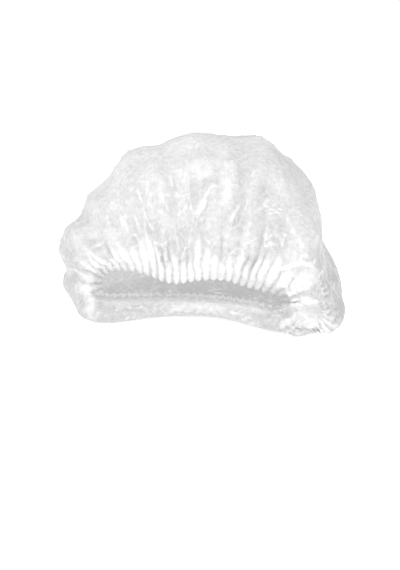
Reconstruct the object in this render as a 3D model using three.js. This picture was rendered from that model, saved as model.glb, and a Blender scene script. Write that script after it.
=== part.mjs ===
// Disposable bouffant cap: a disc of thin nonwoven cloth gathered on elastic, resting crown up, mouth to the front.
// Millimetres, +Z up, the mouth looks along -Y, and z = 0 is the surface that the cap rests on.
import * as THREE from "three";

// Driving dimensions
const CROWN_WIDTH = 266; // side lobe to side lobe
const CROWN_HEIGHT = 163; // resting surface to the top of the puff
const FRONT_REACH = 100; // widest ring to the front of the puff
const REAR_REACH = 90; // widest ring to the back of the puff
const MOUTH_WIDTH = 170; // left end of the mouth to its right end
const MOUTH_HEIGHT = 49; // resting surface to the highest point of the mouth's edge
const MOUTH_SHIFT = -9; // middle of the mouth, to the left of the middle of the cap
const CLOTH_WALL = 1.8; // wall that stands for the thin cloth and its fine crumple
const PLEATS = 56; // gathers round the mouth
const PLEAT_RISE = 1.9; // height of a gather above the smooth cloth
const PLEAT_LENGTH = 42; // how far a gather runs from the hem
const MIDDLE_FOLDS = 23; // folds that the gathers run into
const LONG_FOLDS = 13; // broad folds further up the crown
const FOLD_RISE = 4; // height of the folds
const KNOB_RISE = 2.5; // bunched cloth at the mouth's right end
const KNOB_RADIUS = 24;
const HEM_WALL = 1;
const HEM_LAP = 4; // how far the turned hem closes over the crown's edge
const ELASTIC_HEIGHT = 3;
const ELASTIC_THICKNESS = 1.4;
const CLEARANCE = 0.45; // between one piece and the next

// Distances from the mouth's edge: where the elastic lies, where the crown's edge is, and where the hem ends
const elasticNear = HEM_WALL + CLEARANCE;
const elasticFar = elasticNear + ELASTIC_HEIGHT;
const crownEdge = elasticFar + CLEARANCE;
const hemHeight = crownEdge + HEM_LAP;

// Sections round the mouth, from its left end over the upper lip to its right end and back along the lower lip.
// Across is a share of half the mouth or crown width, up is a share of the mouth or crown height, and forward is a
// share of the front reach. "lip" is the mouth's edge, "pull" is where the cloth heads from it, "side" is the widest
// ring of the crown, "brow" is how far forward the cloth still runs as it leaves that ring, and "gather" is how long
// the gathers are, as a share of the pleat length.
const SECTIONS = table(
  ["lipAcross", "lipForward", "lipUp", "pullAcross", "pullForward", "pullUp", "sideAcross", "sideForward", "sideUp", "brow", "gather"],
  [
    [-0.99, 0.46, 0.56, -0.1, 0.32, 0.02, -0.99, 0.02, 0.16, 0.42, 0.85],
    [-0.95, 0.52, 0.84, -0.12, 0.3, 0.12, -0.965, -0.04, 0.39, 0.6, 0.85],
    [-0.72, 0.62, 0.99, -0.09, 0.3, 0.18, -0.77, -0.05, 0.62, 0.68, 0.85],
    [-0.46, 0.66, 0.915, -0.05, 0.3, 0.21, -0.56, -0.05, 0.85, 0.74, 0.95],
    [-0.19, 0.69, 0.775, -0.02, 0.3, 0.24, -0.29, -0.05, 0.95, 0.78, 1.05],
    [0.11, 0.73, 0.85, 0.0, 0.3, 0.24, 0.02, -0.05, 0.98, 0.8, 1.05],
    [0.38, 0.77, 0.867, 0.03, 0.3, 0.22, 0.32, -0.05, 0.98, 0.8, 1.0],
    [0.64, 0.83, 0.765, 0.06, 0.3, 0.2, 0.6, -0.05, 0.89, 0.82, 1.0],
    [0.82, 0.86, 0.68, 0.08, 0.3, 0.15, 0.79, -0.02, 0.68, 0.86, 1.1],
    [0.945, 0.87, 0.64, 0.13, 0.3, 0.08, 0.9, 0.04, 0.4, 0.92, 1.15],
    [1.01, 0.865, 0.49, 0.16, 0.32, 0.05, 0.985, 0.1, 0.13, 1.12, 1.15],
    [0.93, 0.855, 0.35, 0.11, 0.38, 0.04, 0.95, 0.08, -0.01, 1.72, 0.9],
    [0.64, 0.7, 0.38, 0.0, 0.62, 0.02, 0.56, 0.0, -0.03, 1.58, 0.5],
    [0.25, 0.54, 0.39, 0.0, 0.5, 0.03, 0.11, -0.05, -0.03, 0.92, 0.45],
    [-0.16, 0.46, 0.378, 0.0, 0.52, 0.03, -0.34, -0.05, -0.03, 0.94, 0.45],
    [-0.6, 0.42, 0.367, -0.03, 0.62, 0.02, -0.66, -0.02, -0.02, 1.34, 0.45],
    [-0.93, 0.41, 0.355, -0.03, 0.52, 0.02, -0.86, 0.0, 0.02, 1.24, 0.6],
  ],
);

// Main folds on the front of the crown, each a ridge between two places in the front view. Across is a share of half
// the crown width, up of the crown height, width of the crown height, and rise of the fold rise.
const FOLDS = table(
  ["fromAcross", "fromUp", "toAcross", "toUp", "width", "rise"],
  [
    [-0.12, 0.42, 0.2, 0.72, 0.07, 1.1],
    [0.2, 0.72, 0.33, 0.76, 0.065, 0.9],
    [-0.62, 0.66, -0.5, 0.4, 0.06, 1.0],
    [-0.86, 0.52, -0.7, 0.36, 0.06, 0.8],
    [-0.3, 0.86, -0.16, 0.5, 0.06, 0.8],
    [0.64, 0.72, 0.7, 0.36, 0.06, 1.1],
    [0.42, 0.6, 0.66, 0.56, 0.055, 0.7],
    [0.02, 0.9, 0.1, 0.66, 0.06, 0.6],
    [0.4, 0.44, 0.5, 0.8, 0.06, -0.8],
    [-0.42, 0.42, -0.34, 0.72, 0.06, -0.7],
  ],
);

// Rows of the crown's mesh. A row lies at a distance from the mouth's edge, or at a share of the way on to the back.
const ROWS = table(
  ["distance", "share", "cellsPerPleat"],
  [
    [crownEdge, 0, 2],
    [hemHeight, 0, 2],
    [hemHeight + 0.12 * PLEAT_LENGTH, 0, 4],
    [hemHeight + 0.26 * PLEAT_LENGTH, 0, 4],
    [hemHeight + 0.43 * PLEAT_LENGTH, 0, 4],
    [hemHeight, 0.085, 2],
    [hemHeight, 0.125, 2],
    [hemHeight, 0.17, 2],
    [hemHeight, 0.22, 2],
    [hemHeight, 0.27, 2],
    [hemHeight, 0.325, 2],
    [hemHeight, 0.38, 2],
    [hemHeight, 0.435, 2],
    [hemHeight, 0.49, 2],
    [hemHeight, 0.55, 1],
    [hemHeight, 0.61, 1],
    [hemHeight, 0.675, 1],
    [hemHeight, 0.74, 1],
    [hemHeight, 0.805, 1],
    [hemHeight, 0.87, 0.5],
    [hemHeight, 0.935, 0.5],
  ],
);

const REAR_HEIGHT_SHARE = 0.47; // height of the rearmost point, as a share of the crown height
const REAR_FULLNESS = 0.62; // how square the back of the puff is, from 0 pointed to 1 boxy

// Turns a heading and rows of numbers into a list of records with named fields.
function table(heading, rows) {
  return rows.map((row) => Object.fromEntries(heading.map((name, i) => [name, row[i]])));
}

// A smooth closed curve through one triple of columns of the sections.
function closedCurve(place) {
  return new THREE.CatmullRomCurve3(SECTIONS.map(place), true, "catmullrom", 0.5);
}

const lipCurve = closedCurve(
  (s) =>
    new THREE.Vector3(
      MOUTH_SHIFT + (s.lipAcross * MOUTH_WIDTH) / 2,
      -s.lipForward * FRONT_REACH,
      s.lipUp * MOUTH_HEIGHT,
    ),
);
const pullCurve = closedCurve(
  (s) =>
    new THREE.Vector3(
      (s.pullAcross * CROWN_WIDTH) / 2,
      -s.pullForward * FRONT_REACH,
      s.pullUp * CROWN_HEIGHT,
    ),
);
const sideCurve = closedCurve(
  (s) =>
    new THREE.Vector3(
      (s.sideAcross * CROWN_WIDTH) / 2,
      -s.sideForward * FRONT_REACH,
      s.sideUp * CROWN_HEIGHT,
    ),
);
const browCurve = closedCurve((s) => new THREE.Vector3(0, -s.brow * FRONT_REACH, 0));
const gatherCurve = closedCurve((s) => new THREE.Vector3(s.gather * PLEAT_LENGTH, 0, 0));
lipCurve.arcLengthDivisions = 1200;

const rearPoint = new THREE.Vector3(0, REAR_REACH, REAR_HEIGHT_SHARE * CROWN_HEIGHT);
const meridians = new Map();

// The line that the cloth follows from one place on the mouth's edge, over the crown, to the middle of its back.
function meridian(round) {
  const key = Math.round((round - Math.floor(round)) * 1e6);
  if (!meridians.has(key)) {
    const t = lipCurve.getUtoTmapping(key / 1e6);
    const lip = lipCurve.getPoint(t);
    const side = sideCurve.getPoint(t);
    const pull = pullCurve.getPoint(t);
    const forward = browCurve.getPoint(t);
    const hemEnd = lip.clone().addScaledVector(pull.clone().normalize(), hemHeight);
    const outward = side.clone().sub(rearPoint).setY(0).multiplyScalar(REAR_FULLNESS);
    const path = new THREE.CurvePath();
    path.add(new THREE.LineCurve3(lip, hemEnd));
    path.add(
      new THREE.CubicBezierCurve3(hemEnd, hemEnd.clone().add(pull), side.clone().add(forward), side),
    );
    path.add(
      new THREE.CubicBezierCurve3(
        side,
        side.clone().setY(side.y + (rearPoint.y - side.y) * REAR_FULLNESS),
        rearPoint.clone().add(outward),
        rearPoint,
      ),
    );
    path.arcLengthDivisions = 400;
    meridians.set(key, { path, length: path.getLength(), gather: gatherCurve.getPoint(t).x });
  }
  return meridians.get(key);
}

// How far along its line a row lies at one place round the mouth.
function distanceAt(round, row) {
  return row.distance + row.share * (meridian(round).length - row.distance);
}

function smoothCloth(round, row) {
  const line = meridian(round);
  return line.path.getPointAt(Math.min(1, Math.max(0, distanceAt(round, row) / line.length)));
}

const ROUND_STEP = 0.002;
const ROW_STEP = 1.5;

// The outward direction of the smooth cloth. Within the hem it is that of the hem's middle, so a hem is straight.
function outwardAt(round, place) {
  const row = distanceAt(round, place) <= hemHeight ? { distance: hemHeight / 2, share: 0 } : place;
  const across = smoothCloth(round + ROUND_STEP, row).sub(smoothCloth(round - ROUND_STEP, row));
  const nearer = { distance: row.distance - ROW_STEP, share: row.share };
  const farther = { distance: row.distance + ROW_STEP, share: row.share };
  const along = smoothCloth(round, farther).sub(smoothCloth(round, nearer));
  return across.cross(along).normalize();
}

// Rises from 0 to 1 between two values, and falls again where they are the other way round.
function ramp(value, from, to) {
  return THREE.MathUtils.smoothstep((value - from) / (to - from), 0, 1);
}

// Distance in the front view from a place to a fold's ridge.
function ridgeDistance(point, fold) {
  const from = new THREE.Vector2((fold.fromAcross * CROWN_WIDTH) / 2, fold.fromUp * CROWN_HEIGHT);
  const to = new THREE.Vector2((fold.toAcross * CROWN_WIDTH) / 2, fold.toUp * CROWN_HEIGHT);
  const place = new THREE.Vector2(point.x, point.z).sub(from);
  const ridge = to.sub(from);
  const share = THREE.MathUtils.clamp(place.dot(ridge) / ridge.lengthSq(), 0, 1);
  return place.sub(ridge.multiplyScalar(share)).length();
}

// Height of the gathers, folds and bunched cloth above the smooth cloth.
function crumple(round, row, point, outward) {
  const distance = distanceAt(round, row);
  const { length, gather } = meridian(round);
  const share = distance / length;
  const turn = 2 * Math.PI * round;
  const uneven = 1 + 0.22 * Math.sin(5 * turn + 1) + 0.16 * Math.sin(11 * turn);
  const pleat = PLEAT_RISE * (0.45 + 0.55 * ramp(distance, hemHeight, hemHeight + 0.24 * PLEAT_LENGTH));
  let height = pleat * ramp(distance, gather, gather * 0.5) * uneven * Math.cos(PLEATS * turn);
  const upper = ramp(gather / PLEAT_LENGTH, 0.5, 0.85);
  const middle = upper * ramp(distance, hemHeight + 0.1 * PLEAT_LENGTH, PLEAT_LENGTH) * ramp(share, 0.45, 0.3);
  height += 0.6 * FOLD_RISE * middle * Math.cos(MIDDLE_FOLDS * turn + 2 * Math.sin(3 * turn) + 3 * share);
  const long = upper * ramp(share, 0.16, 0.34) * ramp(share, 0.82, 0.55);
  height += 0.5 * FOLD_RISE * long * Math.cos(LONG_FOLDS * turn + 2.2 * Math.sin(2 * turn) + 5 * share);
  const front = ramp(-outward.y, 0.1, 0.6) * ramp(distance, hemHeight, hemHeight + 0.33 * PLEAT_LENGTH);
  let ridge = 0;
  let dent = 0;
  for (const fold of FOLDS) {
    const near = ridgeDistance(point, fold) / (fold.width * CROWN_HEIGHT);
    const rise = fold.rise * Math.exp(-near * near);
    ridge = Math.max(ridge, rise);
    dent = Math.min(dent, rise);
  }
  return height + front * FOLD_RISE * (ridge + dent);
}

const knobCentre = lipCurve
  .getPoint(10 / SECTIONS.length)
  .add(new THREE.Vector3(KNOB_RADIUS * 0.8, 0, -KNOB_RADIUS * 0.1));

// A place in the cloth: round the mouth, on a row, and off the middle of the cloth towards the outside.
function clothPoint(round, row, off) {
  const point = smoothCloth(round, row);
  const outward = outwardAt(round, row);
  const knob = new THREE.Vector2(point.x - knobCentre.x, point.z - knobCentre.z).length() / KNOB_RADIUS;
  const pastHem = ramp(distanceAt(round, row), hemHeight, hemHeight + KNOB_RADIUS / 2);
  const bunch = KNOB_RISE * Math.exp(-knob * knob) * ramp(-outward.y, 0, 0.5) * pastHem;
  point.addScaledVector(outward, off + bunch + crumple(round, row, point, outward));
  point.z = Math.max(point.z, CLOTH_WALL / 2 - off);
  return point;
}

// Joins two rings of vertices, which may differ in number, with one strip of triangles.
function strip(faces, lower, upper, flip) {
  let i = 0;
  let j = 0;
  while (i < lower.count || j < upper.count) {
    const a = lower.start + (i % lower.count);
    const b = upper.start + (j % upper.count);
    const takeLower = j >= upper.count || (i < lower.count && (i + 1) / lower.count <= (j + 1) / upper.count);
    const c = takeLower ? lower.start + ((i + 1) % lower.count) : upper.start + ((j + 1) % upper.count);
    faces.push(...(flip ? [a, c, b] : [a, b, c]));
    if (takeLower) i += 1;
    else j += 1;
  }
}

function geometryOf(points, faces) {
  const geometry = new THREE.BufferGeometry();
  geometry.setAttribute("position", new THREE.Float32BufferAttribute(points.flatMap((p) => p.toArray()), 3));
  geometry.setIndex(faces);
  geometry.computeVertexNormals();
  return geometry;
}

function addRing(points, count, place) {
  const start = points.length;
  for (let i = 0; i < count; i += 1) points.push(place(i / count));
  return { start, count };
}

// The crown: an outer and an inner skin of the same rows, joined round the mouth.
function crownGeometry() {
  const points = [];
  const faces = [];
  const skins = [CLOTH_WALL / 2, -CLOTH_WALL / 2].map((off) => {
    const rings = ROWS.map((row) =>
      addRing(points, Math.round(row.cellsPerPleat * PLEATS), (round) => clothPoint(round, row, off)),
    );
    points.push(rearPoint.clone().add(new THREE.Vector3(0, off, 0)));
    return { rings, pole: { start: points.length - 1, count: 1 } };
  });
  skins.forEach(({ rings, pole }, inner) => {
    rings.slice(1).forEach((ring, i) => strip(faces, rings[i], ring, inner === 0));
    const last = rings[rings.length - 1];
    for (let i = 0; i < last.count; i += 1) {
      const a = last.start + i;
      const b = last.start + ((i + 1) % last.count);
      faces.push(...(inner ? [a, pole.start, b] : [a, b, pole.start]));
    }
  });
  strip(faces, skins[0].rings[0], skins[1].rings[0], false);
  return geometryOf(points, faces);
}

// A closed loop round the mouth of one section, given as distances from the mouth's edge and off the cloth's middle.
function loopGeometry(section, count) {
  const points = [];
  const faces = [];
  const rings = section.map(([distance, off]) =>
    addRing(points, count, (round) => clothPoint(round, { distance, share: 0 }, off)),
  );
  rings.forEach((ring, i) => strip(faces, ring, rings[(i + 1) % rings.length], true));
  return geometryOf(points, faces);
}

const channel = CLOTH_WALL / 2 + CLEARANCE; // half the room between the hem's two leaves
const leaf = channel + HEM_WALL;
const hemSection = [
  [hemHeight, channel],
  [HEM_WALL, channel],
  [HEM_WALL, -channel],
  [hemHeight, -channel],
  [hemHeight, -leaf],
  [HEM_WALL, -leaf],
  [0, 0],
  [HEM_WALL, leaf],
  [hemHeight, leaf],
];
const elasticSection = [
  [elasticNear, -ELASTIC_THICKNESS / 2],
  [elasticNear, ELASTIC_THICKNESS / 2],
  [elasticFar, ELASTIC_THICKNESS / 2],
  [elasticFar, -ELASTIC_THICKNESS / 2],
];

const cloth = { color: 0xf4f6f7, roughness: 0.75, metalness: 0 };
const rubber = { color: 0xfbfbf8, roughness: 0.85, metalness: 0 };

function piece(name, geometry, finish) {
  const mesh = new THREE.Mesh(geometry, new THREE.MeshStandardMaterial(finish));
  mesh.name = name;
  return mesh;
}

const cap = new THREE.Group();
cap.add(
  piece("crown", crownGeometry(), cloth),
  piece("hem", loopGeometry(hemSection, 2 * PLEATS), cloth),
  piece("elastic", loopGeometry(elasticSection, 2 * PLEATS), rubber),
);

// The origin is on the resting surface, under the middle of the cap's own box.
const middle = new THREE.Box3().setFromObject(cap).getCenter(new THREE.Vector3());
cap.position.set(-middle.x, -middle.y, 0);

export default cap;
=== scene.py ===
"""A bouffant cap of thin white nonwoven cloth, lying by itself with its mouth towards the viewer.

Every size is in metres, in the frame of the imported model: +Z up, -Y out of the mouth and +X to the viewer's
right.
"""

import logging
import math
from dataclasses import dataclass, field
from enum import Enum
from typing import Sequence

import bpy
import numpy as np
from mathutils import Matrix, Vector

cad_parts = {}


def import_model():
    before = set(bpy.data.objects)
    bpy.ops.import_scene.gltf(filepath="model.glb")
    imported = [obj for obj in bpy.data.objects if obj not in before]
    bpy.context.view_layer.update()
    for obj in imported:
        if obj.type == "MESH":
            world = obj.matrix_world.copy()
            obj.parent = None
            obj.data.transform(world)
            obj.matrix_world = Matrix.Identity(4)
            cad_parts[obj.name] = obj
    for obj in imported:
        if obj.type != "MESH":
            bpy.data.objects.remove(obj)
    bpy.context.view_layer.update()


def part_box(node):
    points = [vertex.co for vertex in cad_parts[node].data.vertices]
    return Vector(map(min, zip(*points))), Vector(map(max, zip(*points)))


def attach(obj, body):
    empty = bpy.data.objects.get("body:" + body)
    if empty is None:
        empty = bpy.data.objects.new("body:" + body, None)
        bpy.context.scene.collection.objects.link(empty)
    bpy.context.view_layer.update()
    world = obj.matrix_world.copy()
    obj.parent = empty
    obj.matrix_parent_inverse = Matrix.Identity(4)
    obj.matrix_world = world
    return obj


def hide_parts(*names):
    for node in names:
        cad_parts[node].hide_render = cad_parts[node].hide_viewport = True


LOG = logging.getLogger("bouffant_cap")

SECTION_COLUMNS = (
    "lip_across", "lip_forward", "lip_up", "pull_across", "pull_forward", "pull_up",
    "side_across", "side_forward", "side_up", "brow", "gather",
)

# One row for each section round the mouth, as shares of the cap's main sizes: where the cloth leaves the
# mouth's edge, the way that it is pulled there, its side, how far its brow bulges forward, and the length of
# the gathers.
SECTIONS = (
    (-0.99, 0.46, 0.56, -0.1, 0.32, 0.02, -0.99, 0.02, 0.16, 0.42, 0.85),
    (-0.95, 0.52, 0.84, -0.12, 0.3, 0.12, -0.965, -0.04, 0.39, 0.6, 0.85),
    (-0.72, 0.62, 0.99, -0.09, 0.3, 0.18, -0.77, -0.05, 0.62, 0.68, 0.85),
    (-0.46, 0.66, 0.915, -0.05, 0.3, 0.21, -0.56, -0.05, 0.85, 0.74, 0.95),
    (-0.19, 0.69, 0.775, -0.02, 0.3, 0.24, -0.29, -0.05, 0.95, 0.78, 1.05),
    (0.11, 0.73, 0.85, 0.0, 0.3, 0.24, 0.02, -0.05, 0.98, 0.8, 1.05),
    (0.38, 0.77, 0.867, 0.03, 0.3, 0.22, 0.32, -0.05, 0.98, 0.8, 1.0),
    (0.64, 0.83, 0.765, 0.06, 0.3, 0.2, 0.6, -0.05, 0.89, 0.82, 1.0),
    (0.82, 0.86, 0.68, 0.08, 0.3, 0.15, 0.79, -0.02, 0.68, 0.86, 1.1),
    (0.945, 0.87, 0.64, 0.13, 0.3, 0.08, 0.9, 0.04, 0.4, 0.92, 1.15),
    (1.01, 0.865, 0.49, 0.16, 0.32, 0.05, 0.985, 0.1, 0.13, 1.12, 1.15),
    (0.93, 0.855, 0.35, 0.11, 0.38, 0.04, 0.95, 0.08, -0.01, 1.72, 0.9),
    (0.64, 0.7, 0.38, 0.0, 0.62, 0.02, 0.56, 0.0, -0.03, 1.58, 0.5),
    (0.25, 0.54, 0.39, 0.0, 0.5, 0.03, 0.11, -0.05, -0.03, 0.92, 0.45),
    (-0.16, 0.46, 0.378, 0.0, 0.52, 0.03, -0.34, -0.05, -0.03, 0.94, 0.45),
    (-0.6, 0.42, 0.367, -0.03, 0.62, 0.02, -0.66, -0.02, -0.02, 1.34, 0.45),
    (-0.93, 0.41, 0.355, -0.03, 0.52, 0.02, -0.86, 0.0, 0.02, 1.24, 0.6),
)

# Main folds on the front, each a ridge between two places in the front view: from across, from up, to across,
# to up, as shares of half the crown's width and of its height; then width, of the height, and rise, of the
# fold rise.
FOLDS = (
    (-0.12, 0.42, 0.2, 0.72, 0.07, 1.1),
    (0.2, 0.72, 0.33, 0.76, 0.065, 0.9),
    (-0.62, 0.66, -0.5, 0.4, 0.06, 1.0),
    (-0.86, 0.52, -0.7, 0.36, 0.06, 0.8),
    (-0.3, 0.86, -0.16, 0.5, 0.06, 0.8),
    (0.64, 0.72, 0.7, 0.36, 0.06, 1.1),
    (0.42, 0.6, 0.66, 0.56, 0.055, 0.7),
    (0.02, 0.9, 0.1, 0.66, 0.06, 0.6),
    (0.4, 0.44, 0.5, 0.8, 0.06, -0.8),
    (-0.42, 0.42, -0.34, 0.72, 0.06, -0.7),
)

VIEW_ELEVATION = math.radians(15.0)  # how far above the floor the camera looks from
VIEW_DISTANCE = 1.5  # metres from the camera to what it looks at
AIM_HEIGHT = 0.016  # metres from the floor to what the camera looks at
FLOOR_EASE = 0.0006  # metres over which the cloth eases onto the floor
FLAT_ROUND = 1.06  # metres of cloth in a turn round the mouth, between the flat cut's edge and its middle
WAVE_REPEAT = 0.314  # metres from one ridge to the next in Blender's wave texture at a scale of 1

# Sharp creases of the front, the rolls round the bunch at the mouth's right end, and the bunched left end.
# Each is a line in mm, across and up from the middle of the view from above the front: its width, its fullness
# and its places. The fullness paints the line white, mostly a painted highlight beside the line's real rise.
CREASES = (
    (3.2, 0.72, ((-10, 31), (-8, 47), (-6, 64), (1, 77), (12, 91), (25, 100), (39, 109))),
    (1.6, 0.8, ((-4, 51), (0, 70), (8, 82))),
    (3.0, 0.72, ((45, 43), (51, 64), (60, 76), (69, 85), (73, 90))),
    (1.1, 0.9, ((60, 77), (82, 77))),
    (1.1, 0.9, ((62, 73), (85, 72))),
    (1.1, 0.85, ((64, 69), (81, 68), (91, 64), (99, 64))),
    (2.6, 0.75, ((84, 68), (89, 50), (95, 34), (100, 21))),
    (2.2, 0.7, ((81, 99), (84, 82), (85, 68))),
    (2.4, 0.72, ((-86, 84), (-79, 70), (-71, 57), (-67, 42))),
    (1.8, 0.7, ((-77, 67), (-73, 51))),
    (1.2, 0.8, ((-64, 69), (-59, 57), (-52, 43))),
    (1.3, 0.8, ((-61, 94), (-55, 79), (-52, 64), (-46, 54), (-40, 47))),
    (1.2, 0.7, ((-48, 115), (-50, 95), (-55, 79))),
    (1.3, 0.9, ((-29, 113), (-27, 96), (-19, 80))),
    (1.3, 0.95, ((-22, 66), (-11, 76))),
    (1.3, 0.95, ((-11, 115), (-3, 126), (-2, 143))),
    (1.3, 0.95, ((24, 123), (32, 103))),
    (2.8, 0.72, ((-38, 62), (-34, 43), (-32, 22))),
    (1.8, 0.7, ((-38, 45), (-48, 31))),
    (1.4, 0.7, ((8, 31), (21, 50), (37, 58), (44, 73), (48, 90))),
    (2.2, 0.75, ((27, 29), (43, 39), (54, 45), (66, 50))),
    (1.6, 0.75, ((29, 61), (41, 82))),
    (1.2, 0.5, ((0, 110), (25, 110))),
    (1.2, 0.5, ((46, 103), (66, 102), (68, 86))),
    (1.3, 0.7, ((24, 138), (28, 121))),
    (1.4, 0.7, ((55, 121), (50, 103))),
    (1.4, 0.6, ((53, 34), (66, 38), (82, 40))),
    (1.3, 0.6, ((60, 45), (69, 47), (79, 44))),
    (1.2, 0.7, ((66, 27), (96, 27))),
    (1.4, 0.5, ((-101, 47), (-121, 48))),
    (5.0, 1.0, ((-103, 18), (-108, -5), (-105, -30))),
    (2.2, 1.0, ((64, 5), (76, 15), (94, 20), (111, 13), (121, -5), (118, -22), (109, -32))),
    (2.0, 1.0, ((78, -11), (85, 1), (98, 6), (109, -3), (113, -16), (108, -28))),
    (5.0, 1.0, ((85, -26), (89, -11), (98, -13), (99, -28))),
    (1.2, 0.9, ((93, 20), (94, 28))),
    (1.2, 0.9, ((104, 17), (109, 25))),
    (1.2, 0.9, ((114, 10), (121, 15))),
    (1.2, 0.9, ((120, -2), (127, 1))),
)

# Places of the front where the cloth is pulled out to one layer, in the same view: across, up, half width and
# half height in mm, and how much less full. There the cloth is more see-through and greyer, the grey partly
# painted shade.
THIN_PATCHES = (
    (-48, 48, 12, 14, 0.22),
    (-101, 39, 12, 6, 0.25),
    (72, 43, 13, 16, 0.25),
    (32, 66, 9, 13, 0.2),
    (118, 22, 9, 45, 0.28),
    (-125, 3, 11, 24, 0.3),
    (-29, 74, 9, 8, 0.12),
    (5, 97, 12, 6, 0.15),
    (127, -32, 9, 11, 0.3),
)


def ramp(value: np.ndarray, start: float | np.ndarray, end: float | np.ndarray) -> np.ndarray:
    """Returns 0 to 1, smoothly, as value goes from start to end, or falls where end is the smaller."""
    share = np.clip((value - start) / (end - start), 0.0, 1.0)
    return share * share * (3.0 - 2.0 * share)


def linear(hex_colour: str) -> tuple[float, float, float, float]:
    """Turns an sRGB hex colour to Blender's linear colour.

    Args:
        hex_colour: a colour such as "#F4F6F7".

    Returns:
        Linear red, green and blue, and an alpha of 1.
    """
    parts = [int(hex_colour[i : i + 2], 16) / 255 for i in (1, 3, 5)]
    channels = [c / 12.92 if c <= 0.04045 else ((c + 0.055) / 1.055) ** 2.4 for c in parts]
    return (*channels, 1.0)


class Crinkle:
    """Smooth seeded noise on a lattice that repeats, from about -1 to 1."""

    def __init__(self, seed: int, size: int = 48) -> None:
        """Draws the lattice's values from the seed."""
        self.size = size
        self.lattice = np.random.default_rng(seed).uniform(-1.0, 1.0, (size, size, size))

    def at(self, places: np.ndarray) -> np.ndarray:
        """Reads the noise.

        Args:
            places: coordinates in lattice cells, the last axis x, y and z.

        Returns:
            One value for each place.
        """
        cell = np.floor(places).astype(int)
        part = places - cell
        part = part * part * part * (part * (part * 6.0 - 15.0) + 10.0)
        total = np.zeros(places.shape[:-1])
        for corner in np.ndindex(2, 2, 2):
            index = tuple((cell[..., axis] + corner[axis]) % self.size for axis in range(3))
            share = np.ones(total.shape)
            for axis in range(3):
                share = share * (part[..., axis] if corner[axis] else 1.0 - part[..., axis])
            total += share * self.lattice[index]
        return total

    def over(self, places: np.ndarray, size: float | Sequence[float], shift: float = 0.0) -> np.ndarray:
        """Reads the noise at places in metres.

        Args:
            places: the places, the last axis x, y and z.
            size: metres from one lattice point to the next, for all axes or for each.
            shift: lattice cells to read away from the frame's origin.

        Returns:
            One value for each place.
        """
        return self.at(places / np.asarray(size) + shift)

    def round_mouth(self, turn: np.ndarray, along: np.ndarray, cells: float, reach: float) -> np.ndarray:
        """Reads the noise as streaks that close on themselves round the mouth.

        Args:
            turn: angle round the mouth.
            along: distance from the mouth's edge.
            cells: number of streaks in a whole turn.
            reach: length of a streak.

        Returns:
            One value for each place.
        """
        radius = cells / (2.0 * math.pi)
        places = np.stack((radius * np.cos(turn), radius * np.sin(turn), along / reach), axis=-1)
        return self.at(places + self.size / 2)


def crest(noise: np.ndarray, sharpness: float) -> np.ndarray:
    """Returns thin ridges, 1 high, along the lines where the noise is nought."""
    return np.exp(-np.abs(noise) * sharpness)


def gather_section(phase: np.ndarray) -> np.ndarray:
    """Returns a gather's section, from 0 in its sharp valley to 1 on its round crest, once in a turn."""
    return np.abs(np.cos(phase / 2.0)) ** 0.7


def curve_between(
    before: np.ndarray, first: np.ndarray, second: np.ndarray, after: np.ndarray, share: float | np.ndarray
) -> np.ndarray:
    """Places on a smooth curve through four points in a row.

    Args:
        before: the point before the stretch.
        first: where the stretch starts.
        second: where the stretch ends.
        after: the point after the stretch.
        share: how far along the stretch, from 0 to 1.

    Returns:
        The places.
    """
    leave = 0.5 * (second - before)
    arrive = 0.5 * (after - first)
    square = -3.0 * first + 3.0 * second - 2.0 * leave - arrive
    cube = 2.0 * first - 2.0 * second + leave + arrive
    return first + leave * share + square * share**2 + cube * share**3


def from_line(
    places: np.ndarray, start: Sequence[float], end: Sequence[float]
) -> tuple[np.ndarray, np.ndarray]:
    """Sets places against a straight line.

    Args:
        places: the places.
        start: one end of the line.
        end: its other end.

    Returns:
        For each place, the share of the line up to its nearest point, and the distance from that point.
    """
    way = np.subtract(end, start)
    share = np.clip((places - start) @ way / max(float(way @ way), 1e-9), 0.0, 1.0)
    return share, np.linalg.norm(places - start - share[..., None] * way, axis=-1)


@dataclass(frozen=True)
class Meridians:
    """Lines that the cloth follows from the mouth's edge, over the crown, to the middle of its back."""

    rounds: np.ndarray
    points: np.ndarray
    lengths: np.ndarray
    gather: np.ndarray

    @property
    def whole(self) -> np.ndarray:
        """The whole length of each line."""
        return self.lengths[:, -1]

    def distance(self, start: np.ndarray, share: np.ndarray) -> np.ndarray:
        """How far along each line a row lies that starts at a distance and goes a share of the rest."""
        return start + share * (self.whole[:, None] - start)

    def at(self, distance: np.ndarray) -> np.ndarray:
        """Finds places on the lines.

        Args:
            distance: distances along the lines, one row for each line.

        Returns:
            A place for each distance.
        """
        out = np.empty((*distance.shape, 3))
        for line in range(len(self.rounds)):
            for axis in range(3):
                out[line, :, axis] = np.interp(distance[line], self.lengths[line], self.points[line, :, axis])
        return out


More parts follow.
